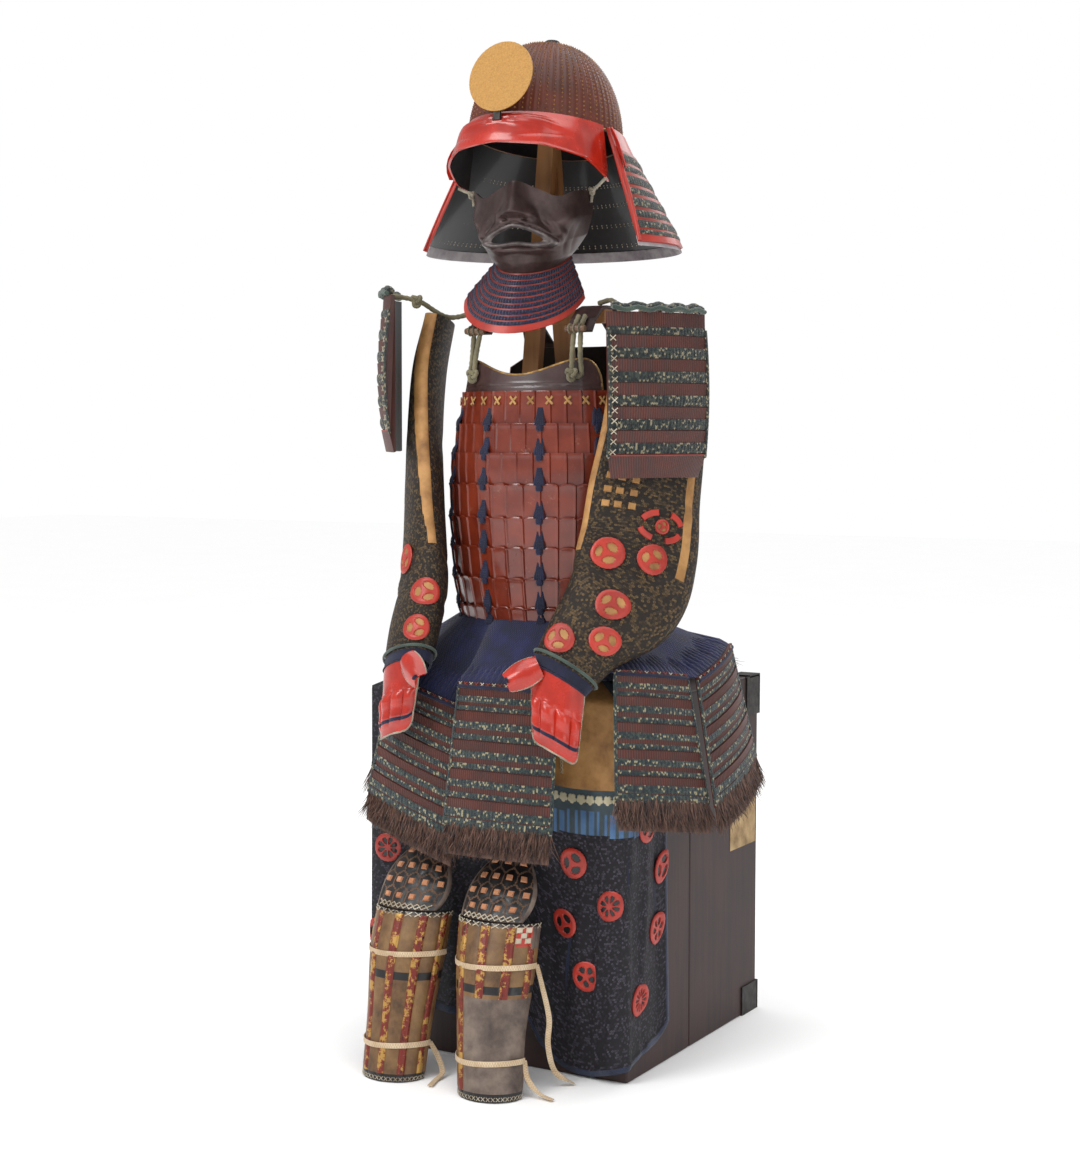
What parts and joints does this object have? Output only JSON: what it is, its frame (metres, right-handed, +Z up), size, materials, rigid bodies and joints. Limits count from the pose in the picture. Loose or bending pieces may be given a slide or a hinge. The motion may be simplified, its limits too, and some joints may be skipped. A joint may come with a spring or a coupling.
{
  "type": "samurai armour on an armour chest",
  "caption": "Laced suit of samurai armour with helmet, half mask, cuirass, sleeves, skirt and shin guards, hung on a wooden stand on its armour chest.",
  "frame": {"origin": "centre of the armour chest's footprint on the floor", "axes": "+Z up, the armour faces -Y, +X towards the wearer's left"},
  "size_m": [0.6031, 0.6131, 1.4767],
  "materials": {
    "chest_wood": "dark lacquered wood, worn",
    "stand_wood": "plain pale wood",
    "bowl_lacquer": "russet-brown lacquer with small studs",
    "dark_iron": "dark patina",
    "red_lacquer": "glossy bright red lacquer",
    "gold_leaf": "matte speckled gold",
    "mask_iron": "dark brown patina",
    "brown_lacquer": "satin dark brown lacquer, brass edge",
    "russet_lacquer": "glossy russet lacquer",
    "strap_leather": "dark lacquered leather",
    "laced_lames": "brown lacquered lames with close green and white silk lacing",
    "navy_silk": "navy silk lacing",
    "mail_cloth": "dark mail on cloth with round red plates",
    "gilt_splints": "gilt and red-brown splints, worn",
    "quilted_cloth": "black quilted cloth over hexagonal plates",
    "green_cord": "twisted olive cord",
    "cream_tape": "cream cotton tape"
  },
  "bodies": {
    "root": {"chest_front_half": "chest_wood", "chest_rear_half": "chest_wood", "inner_stand": "stand_wood", "helmet_bowl": "bowl_lacquer", "helmet_finial": "dark_iron", "crest_prong": "dark_iron", "helmet_peak": "red_lacquer", "turnback_left": "red_lacquer", "turnback_right": "red_lacquer", "throat_guard": "red_lacquer", "hand_guard_left": "red_lacquer", "hand_guard_right": "red_lacquer", "thumb_guard_left": "red_lacquer", "thumb_guard_right": "red_lacquer", "crest_disc": "gold_leaf", "face_mask": "mask_iron", "chest_plate": "brown_lacquer", "back_plate": "russet_lacquer", "front_lame_1": "russet_lacquer", "front_lame_2": "russet_lacquer", "front_lame_3": "russet_lacquer", "back_lame_1": "russet_lacquer", "back_lame_2": "russet_lacquer", "back_lame_3": "russet_lacquer", "body_lame_4": "russet_lacquer", "body_lame_5": "russet_lacquer", "body_lame_6": "russet_lacquer", "body_lame_7": "russet_lacquer", "body_lame_8": "russet_lacquer", "strap_left": "strap_leather", "strap_right": "strap_leather", "neck_guard": "laced_lames", "shoulder_guard_left": "laced_lames", "shoulder_guard_right": "laced_lames", "tasset_front": "laced_lames", "tasset_front_left": "laced_lames", "tasset_left_side": "laced_lames", "tasset_back_left": "laced_lames", "tasset_back_right": "laced_lames", "tasset_right_side": "laced_lames", "tasset_front_right": "laced_lames", "lace_skirt": "navy_silk", "sleeve_left": "mail_cloth", "sleeve_right": "mail_cloth", "thigh_apron": "mail_cloth", "shin_guard_left": "gilt_splints", "shin_guard_right": "gilt_splints", "knee_plate_left": "quilted_cloth", "knee_plate_right": "quilted_cloth", "chest_cord_left": "green_cord", "chest_cord_right": "green_cord", "shoulder_cord_left": "green_cord", "shoulder_cord_right": "green_cord", "mask_cord_left": "green_cord", "mask_cord_right": "green_cord", "shin_tie_left_upper": "cream_tape", "shin_tie_left_lower": "cream_tape", "shin_tie_right": "cream_tape"}
  },
  "joints": []
}
